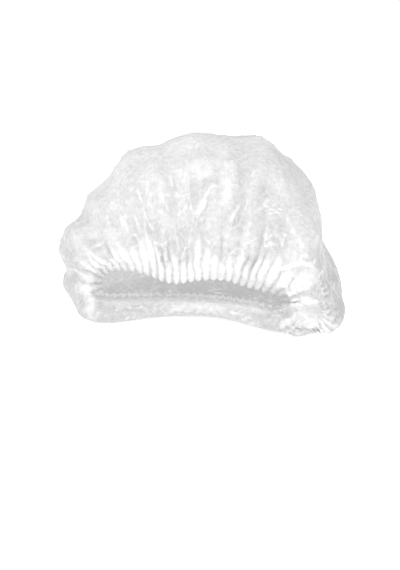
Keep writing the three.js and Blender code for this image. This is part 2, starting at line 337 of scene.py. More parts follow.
@dataclass(frozen=True)
class CapForm:
    """The cap's smooth form and main folds, as in the part's solids."""

    crown_width: float = 0.266
    crown_height: float = 0.163
    front_reach: float = 0.100
    rear_reach: float = 0.090
    mouth_width: float = 0.170
    mouth_height: float = 0.049
    mouth_shift: float = -0.009
    cloth_wall: float = 0.0018
    pleats: int = 56
    pleat_rise: float = 0.0019
    pleat_length: float = 0.042
    middle_folds: int = 23
    long_folds: int = 13
    fold_rise: float = 0.004
    knob_rise: float = 0.0025
    knob_radius: float = 0.024
    hem_wall: float = 0.001
    hem_lap: float = 0.004
    elastic_height: float = 0.003
    elastic_thickness: float = 0.0014
    clearance: float = 0.00045
    rear_height_share: float = 0.47
    rear_fullness: float = 0.62
    round_step: float = 0.002
    row_step: float = 0.0015

    @property
    def elastic_near(self) -> float:
        """Distance of the elastic's near edge from the mouth's edge."""
        return self.hem_wall + self.clearance

    @property
    def elastic_far(self) -> float:
        """Distance of the elastic's far edge from the mouth's edge."""
        return self.elastic_near + self.elastic_height

    @property
    def hem_height(self) -> float:
        """Height of the turned hem."""
        return self.elastic_far + self.clearance + self.hem_lap

    @property
    def rear_point(self) -> np.ndarray:
        """The middle of the cap's back."""
        return np.array((0.0, self.rear_reach, self.rear_height_share * self.crown_height))

    @staticmethod
    def column(name: str) -> np.ndarray:
        """One named column of the sections."""
        return np.array([row[SECTION_COLUMNS.index(name)] for row in SECTIONS])

    def triple(self, start: str, across: float, reach: float, height: float) -> np.ndarray:
        """Reads places from three columns of the sections.

        Args:
            start: how the names of the columns start.
            across: the size that the first column is a share of.
            reach: the size that the second column is a share of, forwards.
            height: the size that the third column is a share of.

        Returns:
            One place for each section.
        """
        return np.stack(
            (
                self.column(start + "_across") * across,
                -self.column(start + "_forward") * reach,
                self.column(start + "_up") * height,
            ),
            axis=-1,
        )

    @staticmethod
    def closed_curve(points: np.ndarray, t: np.ndarray) -> np.ndarray:
        """Places on a smooth closed curve through the points.

        Args:
            points: one point for each section.
            t: share of the way round, by sections.

        Returns:
            One place for each t.
        """
        count = len(points)
        place = np.mod(t, 1.0) * count
        whole = np.floor(place).astype(int)
        w = (place - whole)[:, None]
        return curve_between(*(points[(whole + k) % count] for k in (-1, 0, 1, 2)), w)

    @property
    def lip_points(self) -> np.ndarray:
        """The mouth's edge at each section."""
        points = self.triple("lip", self.mouth_width / 2, self.front_reach, self.mouth_height)
        return points + np.array((self.mouth_shift, 0.0, 0.0))

    def even_steps(self, rounds: np.ndarray) -> np.ndarray:
        """Turns shares of the mouth's length to shares by sections.

        Args:
            rounds: shares of the length of the mouth's edge.

        Returns:
            The same places as shares of the way round by sections.
        """
        t = np.linspace(0.0, 1.0, 1201)
        lip = self.closed_curve(self.lip_points, t)
        lengths = np.concatenate(([0.0], np.cumsum(np.linalg.norm(np.diff(lip, axis=0), axis=1))))
        return np.interp(np.mod(rounds, 1.0), lengths / lengths[-1], t)

    def meridians(self, rounds: np.ndarray) -> Meridians:
        """Draws the lines that the cloth follows.

        Args:
            rounds: where the lines start, as shares of the length of the mouth's edge.

        Returns:
            The lines, from the mouth to the middle of the back.
        """
        t = self.even_steps(rounds)
        width, height, reach = self.crown_width / 2, self.crown_height, self.front_reach
        lip = self.closed_curve(self.lip_points, t)
        pull = self.closed_curve(self.triple("pull", width, reach, height), t)
        side = self.closed_curve(self.triple("side", width, reach, height), t)
        brow = self.closed_curve(np.outer(self.column("brow"), (0.0, -reach, 0.0)), t)
        gather = self.closed_curve(np.outer(self.column("gather"), (self.pleat_length, 0.0, 0.0)), t)[:, 0]
        hem_end = lip + pull / np.linalg.norm(pull, axis=1)[:, None] * self.hem_height
        rear = np.broadcast_to(self.rear_point, side.shape)
        back = side.copy()
        back[:, 1] += (rear[:, 1] - side[:, 1]) * self.rear_fullness
        outward = (side - rear) * np.array((1.0, 0.0, 1.0)) * self.rear_fullness
        s = np.linspace(0.0, 1.0, 121)[1:, None, None]

        def bezier(a: np.ndarray, b: np.ndarray, c: np.ndarray, d: np.ndarray) -> np.ndarray:
            """Places on a cubic curve, first axis along it."""
            return (1 - s) ** 3 * a + 3 * (1 - s) ** 2 * s * b + 3 * (1 - s) * s**2 * c + s**3 * d

        points = np.concatenate(
            (
                lip[None],
                hem_end[None],
                bezier(hem_end, hem_end + pull, side + brow, side),
                bezier(side, back, rear + outward, rear),
            )
        ).transpose(1, 0, 2)
        steps = np.linalg.norm(np.diff(points, axis=1), axis=2)
        lengths = np.concatenate((np.zeros((len(t), 1)), np.cumsum(steps, axis=1)), axis=1)
        return Meridians(rounds, points, lengths, gather)

    def outward(self, lines: Meridians, start: np.ndarray, share: np.ndarray) -> np.ndarray:
        """The outward direction of the smooth cloth, that of the hem's middle within the hem.

        Args:
            lines: the lines of the cloth.
            start: each row's starting distance.
            share: each row's share of the rest.

        Returns:
            A unit vector for each line and row.
        """
        inside = lines.distance(start, share) <= self.hem_height
        start = np.where(inside, self.hem_height / 2, start)
        share = np.where(inside, 0.0, share)

        def place(step: float, row: float) -> np.ndarray:
            """Finds the smooth cloth a step away.

            Args:
                step: share of the way round the mouth.
                row: metres along the lines.

            Returns:
                A place for each line and row.
            """
            near = self.meridians(lines.rounds + step) if step else lines
            wanted = near.distance(start + row, share)
            return near.at(np.clip(wanted, 0.0, near.whole[:, None]))

        across = place(self.round_step, 0.0) - place(-self.round_step, 0.0)
        along = place(0.0, self.row_step) - place(0.0, -self.row_step)
        normal = np.cross(across, along)
        size = np.linalg.norm(normal, axis=-1, keepdims=True)
        flat = size < 1e-12
        return np.where(flat, np.array((0.0, 1.0, 0.0)), normal / np.where(flat, 1.0, size))

    def fold_height(self, points: np.ndarray) -> np.ndarray:
        """Works out the main folds of the front.

        Args:
            points: places of the smooth cloth.

        Returns:
            The height of the folds at each place, in fold rises.
        """
        ridge = np.zeros(points.shape[:-1])
        dent = np.zeros(points.shape[:-1])
        size = np.array((self.crown_width / 2, self.crown_height))
        for from_across, from_up, to_across, to_up, width, rise in FOLDS:
            start, end = np.array((from_across, from_up)) * size, np.array((to_across, to_up)) * size
            near = from_line(points[..., (0, 2)], start, end)[1] / (width * self.crown_height)
            height = rise * np.exp(-near * near)
            ridge = np.maximum(ridge, height)
            dent = np.minimum(dent, height)
        return ridge + dent

    @property
    def knob_centre(self) -> np.ndarray:
        """The middle of the bunched cloth at the mouth's right end."""
        corner = self.closed_curve(self.lip_points, np.array([10 / len(SECTIONS)]))[0]
        return corner + self.knob_radius * np.array((0.8, 0.0, -0.1))


@dataclass
class ClothGrid:
    """A grid of places on the cloth, lines round the mouth by rows away from it, and its shape there."""

    form: CapForm
    lines: Meridians
    start: np.ndarray
    share: np.ndarray
    distance: np.ndarray = field(init=False)
    smooth: np.ndarray = field(init=False)
    outward: np.ndarray = field(init=False)
    turn: np.ndarray = field(init=False)

    def __post_init__(self) -> None:
        """Works out the smooth cloth at the grid's places."""
        self.distance = self.lines.distance(self.start, self.share)
        self.smooth = self.lines.at(self.distance)
        self.outward = self.form.outward(self.lines, self.start, self.share)
        self.turn = np.broadcast_to(2.0 * math.pi * self.lines.rounds[:, None], self.distance.shape)

    @property
    def gather(self) -> np.ndarray:
        """Length of the gathers at each place."""
        return self.lines.gather[:, None]

    @property
    def upper(self) -> np.ndarray:
        """1 on the upper side, where the gathers are long, and 0 under the mouth."""
        return ramp(self.gather / self.form.pleat_length, 0.5, 0.85)

    @property
    def along(self) -> np.ndarray:
        """Share of the whole line at each place."""
        return self.distance / self.lines.whole[:, None]

    @property
    def back(self) -> np.ndarray:
        """How far the cloth faces the back, from 0 to 1."""
        return ramp(self.outward[..., 1], -0.1, 0.5)

    def facing(self, start: float, end: float) -> np.ndarray:
        """How far the cloth faces the front, from 0 at the first share of it to 1 at the second."""
        return ramp(-self.outward[..., 1], start, end)

    def past_hem(self, reach: float) -> np.ndarray:
        """Returns 0 in the hem to 1 at this distance past it."""
        return ramp(self.distance, self.form.hem_height, self.form.hem_height + reach)

    @property
    def uneven(self) -> np.ndarray:
        """How strong the gathers are from place to place round the mouth."""
        return 1.0 + 0.22 * np.sin(5.0 * self.turn + 1.0) + 0.16 * np.sin(11.0 * self.turn)

    @property
    def pleat_size(self) -> np.ndarray:
        """Height of the pleats, which the hem holds down."""
        form = self.form
        opened = self.past_hem(0.24 * form.pleat_length)
        fade = ramp(self.distance, self.gather, self.gather * 0.5)
        return form.pleat_rise * (0.45 + 0.55 * opened) * fade * self.uneven

    @property
    def ruffle(self) -> np.ndarray:
        """Height of the gathers that the elastic draws the hem into."""
        return self.pleat_size * (2.0 * gather_section(self.form.pleats * self.turn) - 1.0)

    @property
    def main_folds(self) -> np.ndarray:
        """Height of the long folds, the front's own folds and the bunched cloth."""
        form, turn, share = self.form, self.turn, self.along
        past_hem = ramp(self.distance, form.hem_height + 0.1 * form.pleat_length, form.pleat_length)
        middle = self.upper * past_hem * ramp(share, 0.45, 0.3)
        height = 0.6 * form.fold_rise * middle * np.cos(
            form.middle_folds * turn + 2.0 * np.sin(3.0 * turn) + 3.0 * share
        )
        long = self.upper * ramp(share, 0.16, 0.34) * ramp(share, 0.82, 0.55)
        height += 0.5 * form.fold_rise * long * np.cos(
            form.long_folds * turn + 2.2 * np.sin(2.0 * turn) + 5.0 * share
        )
        front = self.facing(0.1, 0.6) * self.past_hem(0.33 * form.pleat_length)
        height += front * form.fold_rise * form.fold_height(self.smooth)
        return height + self.bunch

    @property
    def bunch(self) -> np.ndarray:
        """Height of the bunched cloth at the mouth's right end."""
        form = self.form
        near = self.knob_distance / form.knob_radius
        bulge = form.knob_rise * np.exp(-near * near)
        return bulge * self.facing(0.0, 0.5) * self.past_hem(form.knob_radius / 2)

    @property
    def seen(self) -> np.ndarray:
        """Places in mm across and up in the view from above the front, as seen from the camera's distance."""
        across, back, up = np.moveaxis(self.smooth - np.array((0.0, 0.0, AIM_HEIGHT)), -1, 0)
        depth = VIEW_DISTANCE + back * math.cos(VIEW_ELEVATION) - up * math.sin(VIEW_ELEVATION)
        rise = back * math.sin(VIEW_ELEVATION) + up * math.cos(VIEW_ELEVATION)
        return 1000.0 * VIEW_DISTANCE * np.stack((across, rise), axis=-1) / depth[..., None]

    @property
    def toward(self) -> np.ndarray:
        """How far the cloth faces the view from above the front, from 0 to 1."""
        _, back, up = np.moveaxis(self.outward, -1, 0)
        return ramp(up * math.sin(VIEW_ELEVATION) - back * math.cos(VIEW_ELEVATION), 0.02, 0.25)

    def drawn(self) -> tuple[np.ndarray, np.ndarray]:
        """The front's own creases as fullness, from 0 to 1, a painted highlight along each, and as height in
        mm.

        Each wanders off its line, thickens and thins, and fades at its ends, as creases in cloth do.
        """
        wander = np.stack([Crinkle(seed).over(self.smooth, size=0.011) for seed in (45, 46)], axis=-1)
        seen = self.seen + 1.2 * wander
        patches = Crinkle(47).over(self.smooth, size=0.006) + Crinkle(48).over(self.smooth, size=0.016)
        patchy = ramp(patches, -0.9, 0.7)
        full = np.zeros(seen.shape[:-1])
        rise = np.zeros(seen.shape[:-1])
        for width, fullness, places in CREASES:
            steps = [math.dist(start, end) for start, end in zip(places, places[1:])]
            done = 0.0
            for start, end, step in zip(places, places[1:], steps):
                share, away = from_line(seen, start, end)
                along = (done + share * step) / sum(steps)
                taper = 0.4 + 0.6 * ramp(along, 0.0, 0.12) * ramp(along, 1.0, 0.85)
                core, skirt = (np.exp(-((away / (width * wider)) ** 2)) for wider in (1.0, 2.6))
                ridge = fullness * taper * (0.7 * core + 0.3 * skirt)
                full = np.maximum(full, ridge)
                rise = np.maximum(rise, 0.5 * width * ridge)
                done += step
        # the painted highlight and the rise fall only on cloth that faces the view from above the front
        return full * (0.48 + 0.44 * patchy) * self.toward, rise * self.toward

    def thinness(self) -> np.ndarray:
        """Works out where the cloth is pulled out to one layer.

        Returns:
            How much less full it is there.
        """
        thin = np.zeros(self.distance.shape)
        for across, up, half_width, half_height, amount in THIN_PATCHES:
            away = np.linalg.norm((self.seen - (across, up)) / (half_width, half_height), axis=-1)
            thin = np.maximum(thin, amount * np.exp(-(away**4)))
        return thin * self.toward

    @property
    def knob_distance(self) -> np.ndarray:
        """Distance in the front view from the middle of the bunched cloth."""
        return np.linalg.norm((self.smooth - self.form.knob_centre)[..., (0, 2)], axis=-1)

    def raised(self, height: np.ndarray, off: float | np.ndarray = 0.0) -> np.ndarray:
        """The cloth raised along its outward direction, and kept on the resting surface.

        Args:
            height: rise of the cloth's middle.
            off: distance from the cloth's middle, outwards.

        Returns:
            Places in the form's own frame.
        """
        places = self.smooth + self.outward * (height + off)[..., None]
        floor = self.form.cloth_wall / 2 - off
        places[..., 2] = floor + FLOOR_EASE * np.logaddexp(0.0, (places[..., 2] - floor) / FLOOR_EASE)
        return places


class Ends(Enum):
    """How a grid of cloth ends on its last row."""

    OPEN = "open edge"
    POLE = "one point"
    LOOP = "joined to the first row"


def mesh_piece(
    name: str,
    places: np.ndarray,
    ends: Ends,
    finish: bpy.types.Material,
    pole: Sequence[float] | None = None,
) -> bpy.types.Object:
    """Makes one mesh object from a grid that is closed round the mouth.

    Args:
        name: the object's name.
        places: grid of places, lines by rows by three.
        ends: how the last row ends.
        finish: the material.
        pole: the last point, where the rows end in one.

    Returns:
        The new object, linked to the scene.
    """
    lines, rows = places.shape[:2]
    line = np.arange(lines)[:, None]
    row = np.arange(rows if ends is Ends.LOOP else rows - 1)[None, :]
    here = line * rows + row
    beside = ((line + 1) % lines) * rows + row
    above = line * rows + (row + 1) % rows
    across = ((line + 1) % lines) * rows + (row + 1) % rows
    faces = np.stack((here, beside, across, above), axis=-1).reshape(-1, 4).tolist()
    points = places.reshape(-1, 3)
    if ends is Ends.POLE:
        points = np.vstack((points, pole))
        last = np.arange(lines) * rows + rows - 1
        faces += [(int(a), int(b), len(points) - 1) for a, b in zip(last, np.roll(last, -1))]
    mesh = bpy.data.meshes.new(name)
    mesh.from_pydata(points.tolist(), [], faces)
    mesh.update()
    mesh.shade_smooth()
    mesh.materials.append(finish)
    piece = bpy.data.objects.new(name, mesh)
    bpy.context.collection.objects.link(piece)
    return piece


def store(piece: bpy.types.Object, name: str, values: np.ndarray) -> None:
    """Keeps one number for each vertex as a named attribute, which the finish reads.

    Args:
        piece: a piece made by mesh_piece.
        name: the attribute's name.
        values: one number for each place of its grid.
    """
    missing = len(piece.data.vertices) - values.size
    padded = np.concatenate((values.ravel(), np.full(missing, values.ravel()[-1])))
    layer = piece.data.attributes.new(name, "FLOAT", "POINT")
    layer.data.foreach_set("value", padded.astype(np.float32))


def store_flat_cloth(piece: bpy.types.Object, across: np.ndarray, along: np.ndarray) -> None:
    """Keeps each corner's place in the flat cut, in metres, as the UV map that the weave follows.

    Args:
        piece: the cloth, made by mesh_piece.
        across: for each vertex of the grid, place round the flat cut.
        along: for each vertex of the grid, place away from the hem.
    """
    mesh = piece.data
    corners = np.empty(len(mesh.loops), dtype=np.int32)
    mesh.loops.foreach_get("vertex_index", corners)
    tail = len(mesh.vertices) - across.size
    u = np.concatenate((across.ravel(), np.zeros(tail)))[corners]
    v = np.concatenate((along.ravel(), np.full(tail, along.max())))[corners]
    width = across.max() * len(across) / (len(across) - 1)
    starts = np.empty(len(mesh.polygons), dtype=np.int32)
    totals = np.empty(len(mesh.polygons), dtype=np.int32)
    mesh.polygons.foreach_get("loop_start", starts)
    mesh.polygons.foreach_get("loop_total", totals)
    face = np.repeat(np.arange(len(starts)), totals)
    widest = np.maximum.reduceat(u, starts)
    u = np.where((widest[face] > 0.75 * width) & (u < 0.25 * width), u + width, u)
    layer = mesh.uv_layers.new(name="flat_cloth")
    layer.data.foreach_set("uv", np.stack((u, v), axis=-1).astype(np.float32).ravel())


def add_node(
    tree: bpy.types.NodeTree, kind: str, settings: dict | None = None, **links: object
) -> bpy.types.Node:
    """Adds a node with its settings and its inputs.

    Args:
        tree: the material's or world's node tree.
        kind: the node's Blender type.
        settings: attributes of the node.
        links: for each input, by name with _ for a space or by number as i0, i1, a socket to link or a value.

    Returns:
        The new node.
    """
    node = tree.nodes.new(kind)
    for key, value in (settings or {}).items():
        setattr(node, key, value)
    for key, value in links.items():
        socket = node.inputs[int(key[1:])] if key[1:].isdigit() else node.inputs[key.replace("_", " ")]
        if isinstance(value, bpy.types.NodeSocket):
            tree.links.new(value, socket)
        else:
            socket.default_value = value
    return node


def new_material(name: str) -> tuple[bpy.types.Material, bpy.types.NodeTree]:
    """Makes an empty node material.

    Args:
        name: the material's name.

    Returns:
        The material and its node tree.
    """
    material = bpy.data.materials.new(name)
    material.use_nodes = True
    material.node_tree.nodes.clear()
    return material, material.node_tree


@dataclass(frozen=True)
class SpunbondCloth:
    """Spunbond polypropylene, laid as fibres and pressed together at small bond points.

    The eye gets a soft white that light shines through: greyer and see-through where the cloth is one layer,
    and pure white where gathers and creases bunch it. The grey is partly painted shade of the inside behind the
    cloth, and the white is partly painted light: painted highlights along creases and crests, painted light on
    the lower lip.
    """

    name: str = "spunbond_polypropylene_cloth"
    # the grey of one layer is partly painted shade: it stands in for the shaded inside seen through the cloth
    thin_and_shaded_colour: str = "#C3C3C3"
    full_colour: str = "#FFFFFF"
    roughness: float = 0.42
    ior: float = 1.49
    glow: float = 0.32
    sheen: float = 0.15
    thin_cover: float = 0.80  # the share that one layer hides of what lies behind it
    cloud_depth: float = 0.16  # how much fuller or thinner the clouds of fibre make the cloth
    bond_spacing: float = 0.0024  # the real points are about 1 mm apart, too fine to show here
    fibre_cloud: float = 0.0045  # the real clouds of fibre are 3 to 6 mm across

    def build(self) -> bpy.types.Material:
        """Makes the material."""
        material, tree = new_material(self.name)
        flat = add_node(tree, "ShaderNodeUVMap", {"uv_map": "flat_cloth"}).outputs[0]
        place = add_node(tree, "ShaderNodeTexCoord").outputs["Object"]
        # the layers attribute carries the cloth's bunching together with painted light and shade
        layers_and_painted_light = add_node(tree, "ShaderNodeAttribute", {"attribute_name": "layers_and_painted_light"}).outputs["Fac"]
        # the crease attribute is painted highlight: white along creases, streaks, drawn lines and the hem's
        # frill crests
        crease = add_node(tree, "ShaderNodeAttribute", {"attribute_name": "crease"}).outputs["Fac"]
        clouds = add_node(
            tree, "ShaderNodeTexNoise", Vector=place, Scale=1.0 / self.fibre_cloud, Detail=5.0, Roughness=0.7
        ).outputs[0]
        bonds = add_node(
            tree, "ShaderNodeTexVoronoi", Vector=flat, Scale=1.0 / self.bond_spacing, Randomness=0.25
        ).outputs["Distance"]
        dots = add_node(tree, "ShaderNodeMapRange", Value=bonds, From_Min=0.18, From_Max=0.42).outputs[0]
        # Fullness is how much cloth the eye meets: in the gathers, the creases and the clouds of fibre. It also
        # carries painted light and shade: painted highlights along creases and crests, painted shade in valleys
        # and low down, painted light on the lower lip.
        cloudy = add_node(
            tree,
            "ShaderNodeMapRange",
            Value=clouds,
            From_Min=0.36,
            From_Max=0.64,
            To_Min=-self.cloud_depth,
            To_Max=self.cloud_depth,
        ).outputs[0]
        bunched = add_node(tree, "ShaderNodeMath", {"operation": "MAXIMUM"}, i0=layers_and_painted_light, i1=crease).outputs[0]
        fullness = add_node(
            tree, "ShaderNodeMath", {"operation": "ADD", "use_clamp": True}, i0=bunched, i1=cloudy
        ).outputs[0]
        colour = add_node(tree, "ShaderNodeMix", {"data_type": "RGBA"}, i0=fullness)
        colour.inputs[6].default_value = linear(self.thin_and_shaded_colour)
        colour.inputs[7].default_value = linear(self.full_colour)
        bump = add_node(tree, "ShaderNodeBump", Height=dots, Strength=0.35, Distance=0.0002).outputs[0]
        lit = add_node(
            tree,
            "ShaderNodeBsdfPrincipled",
            Base_Color=colour.outputs[2],
            Roughness=self.roughness,
            IOR=self.ior,
            Normal=bump,
            Sheen_Weight=self.sheen,
        ).outputs[0]
        through = add_node(tree, "ShaderNodeBsdfTranslucent", Color=colour.outputs[2], Normal=bump).outputs[0]
        cloth = add_node(tree, "ShaderNodeMixShader", i0=self.glow, i1=lit, i2=through).outputs[0]
        cover = add_node(
            tree, "ShaderNodeMapRange", Value=fullness, From_Max=0.8, To_Min=self.thin_cover, To_Max=1.0
        ).outputs[0]
        clear = add_node(tree, "ShaderNodeBsdfTransparent").outputs[0]
        seen = add_node(tree, "ShaderNodeMixShader", i0=cover, i1=clear, i2=cloth).outputs[0]
        add_node(tree, "ShaderNodeOutputMaterial", Surface=seen)
        return material


@dataclass(frozen=True)
class CoveredElastic:
    """Rubber thread covered with polyester yarn, laid side by side as a narrow matt band.

    The eye gets fine dull ribs across a warm white, the grooves between them painted darker: painted shade.
    """

    name: str = "covered_elastic"
    colour: str = "#F6F5F0"
    groove_shade_colour: str = "#D9D8D2"
    roughness: float = 0.82
    ior: float = 1.52
    yarn_spacing: float = 0.0009  # the real yarn is about 0.3 mm, too fine to show here

    def build(self) -> bpy.types.Material:
        """Makes the material."""
        material, tree = new_material(self.name)
        place = add_node(tree, "ShaderNodeTexCoord").outputs["Object"]
        yarn = add_node(
            tree,
            "ShaderNodeTexWave",
            Vector=place,
            Scale=WAVE_REPEAT / self.yarn_spacing,
            Distortion=0.4,
            Detail=1.0,
        ).outputs["Fac"]
        # painted shade: the grooves between the yarn ribs are painted darker
        colour = add_node(tree, "ShaderNodeMix", {"data_type": "RGBA"}, i0=yarn)
        colour.inputs[6].default_value = linear(self.groove_shade_colour)
        colour.inputs[7].default_value = linear(self.colour)
        bump = add_node(tree, "ShaderNodeBump", Height=yarn, Strength=0.4, Distance=0.0002).outputs[0]
        lit = add_node(
            tree,
            "ShaderNodeBsdfPrincipled",
            Base_Color=colour.outputs[2],
            Roughness=self.roughness,
            IOR=self.ior,
            Normal=bump,
        ).outputs[0]
        add_node(tree, "ShaderNodeOutputMaterial", Surface=lit)
        return material


@dataclass
class Crown:
    """The puffed bag of the cap, one sheet of cloth from the hem to the middle of the back."""

    form: CapForm
    shift: np.ndarray
    lines: int = 784
    rows: int = 118
    tuck: float = 0.0026  # how far the sheet goes in between the hem's two leaves
    flat_side: float = 0.53
    flat_area: float = 0.2206
    gather_wander: float = 2.34  # radians of a gather's turn that it leans by
    gather_stretch: float = 1.3  # how much farther up the fine gathers reach than the main ones
    edge_frill: float = 0.0011
    edge_reach: tuple[float, float] = (0.0008, 0.0022)  # how far inside the hem the edge starts to ruffle
    hem_hold: float = 0.012  # how far past the hem it still holds the gathers down
    free_reach: float = 0.02  # how far past the hem the cloth is wholly free to crumple
    finish_reach: float = 0.01  # how far past the hem the creases and the knob's ribs come in
    crease_points: int = 330
    crease_start: tuple[int, int] = (8, 20)  # rows near the hem and the back where no crease starts
    crease_end: tuple[int, int] = (4, 12)  # rows near the hem and the back that no crease runs into
    crease_across: float = 18.0  # the usual number of lines that a crease crosses
    crease_up: tuple[float, float] = (5.0, 13.0)  # middle and spread of the rows that it runs over
    crease_margin: tuple[int, int] = (40, 8)  # lines and rows beside a crease that it can still shape
    crease_width: float = 0.0012
    crease_rise: float = 0.0024
    dent_rise: float = 0.0010
    roll_reach: float = 0.0045  # length of the small rolls of the lower lip
    roll_rise: float = 0.0008
    hang_rise: float = 0.0045
    upright_size: tuple[float, float, float] = (0.02, 0.034, 0.07)  # of the back's upright folds, by axis
    slanting_size: tuple[float, float, float] = (0.04, 0.04, 0.028)
    palm: float = 0.034
    finger: float = 0.014
    fine: float = 0.006
    resting_height: float = 0.001  # below this the cloth lies on the floor
    lifted_height: float = 0.014  # above this the floor no longer holds it
    arc_ring: float = 0.016  # from the knob's middle to the middle of its ring of arcs
    arc_reach: float = 0.010
    arc_spacing: float = 0.0062
    arc_rise: float = 0.0011
    knob_ribs_round: int = 15
    knob_rib_rise: float = 0.0018
    painted_shade_fade: tuple[float, float] = (0.03, 0.075)  # heights over which the front gets fuller; below them the cloth, and the inside seen through the mouth, is painted darker: painted shade
    painted_top_light: tuple[float, float] = (0.09, 0.15)  # heights over which the puff gets fuller still: painted light on its upper part
    faint_lip_light: tuple[float, float] = (0.075, 0.05)  # distances over which the lower lip gets a little fuller: painted light where the brow above shades it
    strong_lip_light: tuple[float, float] = (0.044, 0.028)  # distances over which it gets much fuller: painted light where the brow shades it
    settle_step: int = 4  # lines of the sheet for each line of the cloth that is let settle
    settle_frames: int = 6
    settle_growth: float = 0.05  # how much too large the cloth is
    settle_grip: float = 0.016  # how far past the hem the cloth is held
    settle_rise: float = 0.0010  # the usual height of the folds that are kept
    settle_limit: float = 0.0035
    settle_blur: int = 5  # cells of the settling cloth that its broad form is smoothed over

    def row_shares(self) -> np.ndarray:
        """Rows as shares of the way to the back, close together near the hem."""
        v = np.linspace(0.0, 1.0, self.rows + 1)[:-1]
        return v * (0.42 + 0.58 * v)

    def grid(self) -> ClothGrid:
        """The grid of places on the sheet."""
        rounds = np.arange(self.lines) / self.lines
        start = np.full(self.rows, self.form.hem_height - self.tuck)
        return ClothGrid(self.form, self.form.meridians(rounds), start, self.row_shares())

    def pleats(self, grid: ClothGrid) -> np.ndarray:
        """Makes sharp irregular gathers, each with its own height, length and lean.

        Args:
            grid: the grid of the whole sheet.

        Returns:
            Their height.
        """
        form = self.form
        free = grid.past_hem(self.hem_hold)
        length = 1.0 + 0.55 * Crinkle(12).round_mouth(grid.turn, 0.0 * grid.distance, form.pleats, 1.0)
        reach = grid.gather * (1.0 + (self.gather_stretch - 1.0) * grid.upper)
        keep = ramp(grid.distance / length, reach, reach * 0.4)
        strength = 1.0 + 0.5 * free * Crinkle(13).round_mouth(grid.turn, grid.distance, cells=40, reach=0.02)
        rise = form.pleat_rise * (0.45 + 0.65 * free) * (1.0 - 0.6 * free * (1.0 - grid.upper))
        return rise * keep * grid.uneven * strength * (2.0 * self.rib(grid) - 1.0)

    def rib(self, grid: ClothGrid) -> np.ndarray:
        """Bends the gathers and gives them their section.

        Args:
            grid: the grid of the whole sheet.

        Returns:
            From 0 in a valley to 1 on a crest.
        """
        lean = Crinkle(11).round_mouth(grid.turn, grid.distance, cells=30, reach=0.018)
        wander = self.gather_wander * grid.past_hem(self.hem_hold) * lean
        return gather_section(self.form.pleats * grid.turn + wander)

    def creases(self, grid: ClothGrid) -> np.ndarray:
        """Sharp straight creases out from points all over the sheet, as thin cloth crumples.

        Args:
            grid: the grid of the whole sheet.

        Returns:
            How near each place is to the ridge of a crease, from 0 to 1.
        """
        draw = np.random.default_rng(71)
        height = np.zeros(grid.distance.shape)
        row_gap = np.gradient(grid.distance, axis=1)
        wide = np.hypot(self.crease_width, 0.45 * row_gap)  # never finer than the rows can show
        for _ in range(self.crease_points):
            line = int(draw.integers(self.lines))
            row = int(draw.integers(self.crease_start[0], self.rows - self.crease_start[1]))
            start = grid.smooth[line, row]
            for _ in range(int(draw.integers(2, 5))):
                beside = int(draw.normal(0.0, self.crease_across))
                above = int(draw.normal(*self.crease_up))
                strength = draw.uniform(0.35, 1.0)
                far = min(max(row + above, self.crease_end[0]), self.rows - self.crease_end[1])
                end = grid.smooth[(line + beside) % self.lines, far]
                patch = self.round_crease((line, line + beside), (row, far))
                share, away = from_line(grid.smooth[patch], start, end)
                ridge = strength * (1.0 - 0.7 * share**2) * np.exp(-away / wide[patch])
                ridge = ridge * np.sqrt(self.crease_width / wide[patch])
                height[patch] = np.maximum(height[patch], ridge)
        return height

    def round_crease(self, lines: tuple[int, int], rows: tuple[int, int]) -> tuple[np.ndarray, ...]:
        """The lines and rows of the sheet that a crease can shape.

        Args:
            lines: the lines of its two ends, the second counted on past the last line.
            rows: the rows of its two ends.

        Returns:
            An index of that patch of the grid.
        """
        beside, above = self.crease_margin
        near_lines = np.arange(min(lines) - beside, max(lines) + beside + 1) % self.lines
        near_rows = np.arange(max(0, min(rows) - above), min(self.rows, max(rows) + above + 1))
        return np.ix_(near_lines, near_rows)

    def streaks(self, grid: ClothGrid) -> np.ndarray:
        """Draws thin lines that run up from the gathers, wander and fade.

        Args:
            grid: the grid of the whole sheet.

        Returns:
            How near each place is to such a line, from 0 to 1.
        """
        d, turn = grid.distance, grid.turn
        wander = turn + 0.04 * Crinkle(21).round_mouth(turn, d, cells=14, reach=0.03)
        long = crest(Crinkle(22).round_mouth(wander, d, cells=80, reach=0.12), sharpness=12.0)
        short = 0.8 * crest(Crinkle(23).round_mouth(wander, d, cells=130, reach=0.05), sharpness=10.0)
        patch = ramp(Crinkle(25).over(grid.smooth, size=0.03, shift=3.0), -0.2, 0.5)
        front = ramp(grid.along, 0.6, 0.3) * grid.upper
        return np.maximum(long * patch, short * (1.0 - patch)) * front

    def slack(self, grid: ClothGrid) -> np.ndarray:
        """Crumples the sheet softly all over, from the size of a palm to that of a fingertip.

        Args:
            grid: the grid of the whole sheet.

        Returns:
            The crumple, about -1 to 1.
        """
        palm = Crinkle(31).over(grid.smooth, size=self.palm)
        finger = Crinkle(32).over(grid.smooth, size=self.finger, shift=5.0)
        fine = Crinkle(33).over(grid.smooth, size=self.fine, shift=2.0)
        return palm + 0.45 * finger + 0.14 * fine

